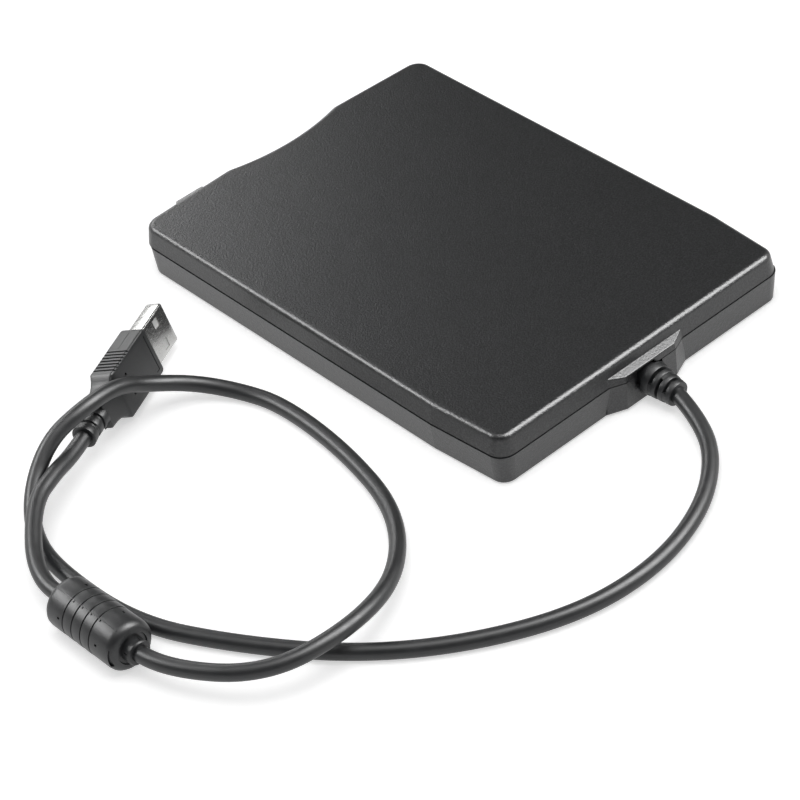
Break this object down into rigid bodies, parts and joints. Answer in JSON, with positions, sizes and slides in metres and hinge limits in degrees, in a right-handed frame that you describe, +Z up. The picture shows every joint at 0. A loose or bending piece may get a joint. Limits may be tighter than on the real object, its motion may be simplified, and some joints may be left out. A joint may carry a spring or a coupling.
{
  "type": "external floppy disk drive",
  "caption": "Slim external floppy disk drive with eject button, finger scoop, captive USB cord with ferrite and plug.",
  "frame": {"origin": "middle of the drive's underside, without its cord, on the surface it rests on", "axes": "+Z up, +Y towards the rear where the cord leaves, -Y the front with disk slot and eject button, +X the user's right"},
  "size_m": [0.2087, 0.199, 0.0184],
  "materials": {
    "case_plastic": "fine spark texture",
    "fascia_plastic": "fine texture",
    "button_plastic": "smooth satin",
    "lamp_lens": "clear tinted",
    "foot_rubber": "matte",
    "blank_label": "bare satin film",
    "black_screw": "blackened",
    "pressed_steel": "zinc plated sheet",
    "spring_steel": "drawn wire",
    "ground_steel": "ground",
    "bronze": "sintered",
    "motor_iron": "laminated",
    "copper_wire": "enamelled",
    "magnet_black": "bonded ferrite",
    "carriage_plastic": "filled nylon",
    "white_plastic": "natural acetal",
    "head_ceramic": "polished ceramic",
    "circuit_board": "solder mask",
    "chip_black": "epoxy",
    "film_amber": "polyimide film",
    "cord_vinyl": "satin",
    "moulded_black": "satin moulded",
    "ferrite_black": "sintered",
    "plug_steel": "nickel plated",
    "gold_contact": "gold plated"
  },
  "bodies": {
    "base": {"top_cover": "case_plastic", "bottom_cover": "case_plastic", "front_bezel": "fascia_plastic", "led_lens": "lamp_lens", "case_screws": "black_screw", "rubber_feet": "foot_rubber", "label_plate": "blank_label", "cord_boot": "moulded_black", "drive_chassis": "pressed_steel", "chassis_screws": "black_screw", "slider_springs": "spring_steel", "slot_door_pin": "ground_steel", "slot_door_spring": "spring_steel", "latch_lever_spring": "spring_steel", "latch_pivot": "ground_steel", "motor_board": "circuit_board", "spindle_bearing": "bronze", "stator_core": "motor_iron", "stator_coils": "copper_wire", "guide_rods": "ground_steel", "stepper_motor": "pressed_steel", "stepper_bracket": "pressed_steel", "track_zero_sensor": "chip_black", "main_board": "circuit_board", "board_chips": "chip_black", "cord_socket": "white_plastic", "inner_lead": "cord_vinyl", "head_flex_cable": "film_amber", "flex_connector": "white_plastic", "switch_block": "chip_black", "cable": "cord_vinyl", "ferrite_core": "ferrite_black", "ferrite_housing": "moulded_black", "plug_body": "moulded_black", "plug_shell": "plug_steel", "plug_insulator": "white_plastic", "plug_contacts": "gold_contact", "interface_board": "circuit_board", "interface_chips": "chip_black"},
    "slider": {"eject_button": "button_plastic", "eject_slider": "pressed_steel"},
    "holder": {"disk_holder": "pressed_steel"},
    "door": {"slot_door": "fascia_plastic"},
    "spindle": {"spindle_shaft": "ground_steel", "spindle_rotor": "pressed_steel", "rotor_magnet": "magnet_black", "spindle_hub": "ground_steel"},
    "carriage": {"head_carriage": "carriage_plastic", "screw_follower": "white_plastic", "lower_head": "head_ceramic", "arm_pivot_pin": "ground_steel"},
    "head_arm": {"upper_head_arm": "white_plastic", "upper_head": "head_ceramic"},
    "screw": {"lead_screw": "ground_steel"},
    "lever": {"latch_lever": "pressed_steel"},
    "write_protect_pin": {"write_protect_plunger": "white_plastic"},
    "density_pin": {"density_plunger": "white_plastic"},
    "disk_in_pin": {"disk_in_plunger": "white_plastic"}
  },
  "joints": [
    {"name": "eject_slide", "type": "slide", "parent": "base", "child": "slider", "axis": [0, 1, 0], "range_m": [0, 0.0045], "stiffness_N_per_m": 300, "springref_m": -0.004, "deforming": ["slider_springs"]},
    {"name": "holder_lift", "type": "slide", "parent": "base", "child": "holder", "axis": [0, 0, 1], "range_m": [0, 0.0016]},
    {"name": "slot_door_hinge", "type": "hinge", "parent": "base", "child": "door", "pos_m": [0, -0.0615, 0.0127], "axis": [1, 0, 0], "range_deg": [0, 90], "stiffness_Nm_per_rad": 0.0008, "springref_deg": -17.19},
    {"name": "spindle_spin", "type": "hinge", "parent": "base", "child": "spindle", "pos_m": [0, -0.011, 0.005], "axis": [0, 0, 1], "continuous": true},
    {"name": "head_slide", "type": "slide", "parent": "base", "child": "carriage", "axis": [0, -1, 0], "range_m": [0, 0.0148], "deforming": ["head_flex_cable"]},
    {"name": "head_arm_lift", "type": "hinge", "parent": "carriage", "child": "head_arm", "pos_m": [0, 0.05, 0.0104], "axis": [-1, 0, 0], "range_deg": [0, 8.4]},
    {"name": "lead_screw_spin", "type": "hinge", "parent": "base", "child": "screw", "pos_m": [0.017, 0.03, 0.0055], "axis": [0, 1, 0], "range_deg": [0, 1780]},
    {"name": "latch_lever_hinge", "type": "hinge", "parent": "base", "child": "lever", "pos_m": [-0.036, 0.043, 0.009], "axis": [0, 0, -1], "range_deg": [0, 35]},
    {"name": "write_protect_press", "type": "slide", "parent": "base", "child": "write_protect_pin", "axis": [0, 0, -1], "range_m": [0, 0.0009], "stiffness_N_per_m": 60, "springref_m": -0.001},
    {"name": "density_press", "type": "slide", "parent": "base", "child": "density_pin", "axis": [0, 0, -1], "range_m": [0, 0.0009], "stiffness_N_per_m": 60, "springref_m": -0.001},
    {"name": "disk_in_press", "type": "slide", "parent": "base", "child": "disk_in_pin", "axis": [0, 0, -1], "range_m": [0, 0.0009], "stiffness_N_per_m": 60, "springref_m": -0.001}
  ],
  "couplings": [
    {"joint": "holder_lift", "follows": "eject_slide", "ratio": 0.3555},
    {"joint": "head_arm_lift", "follows": "eject_slide", "rad_per_m": 32.5},
    {"joint": "lead_screw_spin", "follows": "head_slide", "rad_per_m": 2094.4}
  ]
}
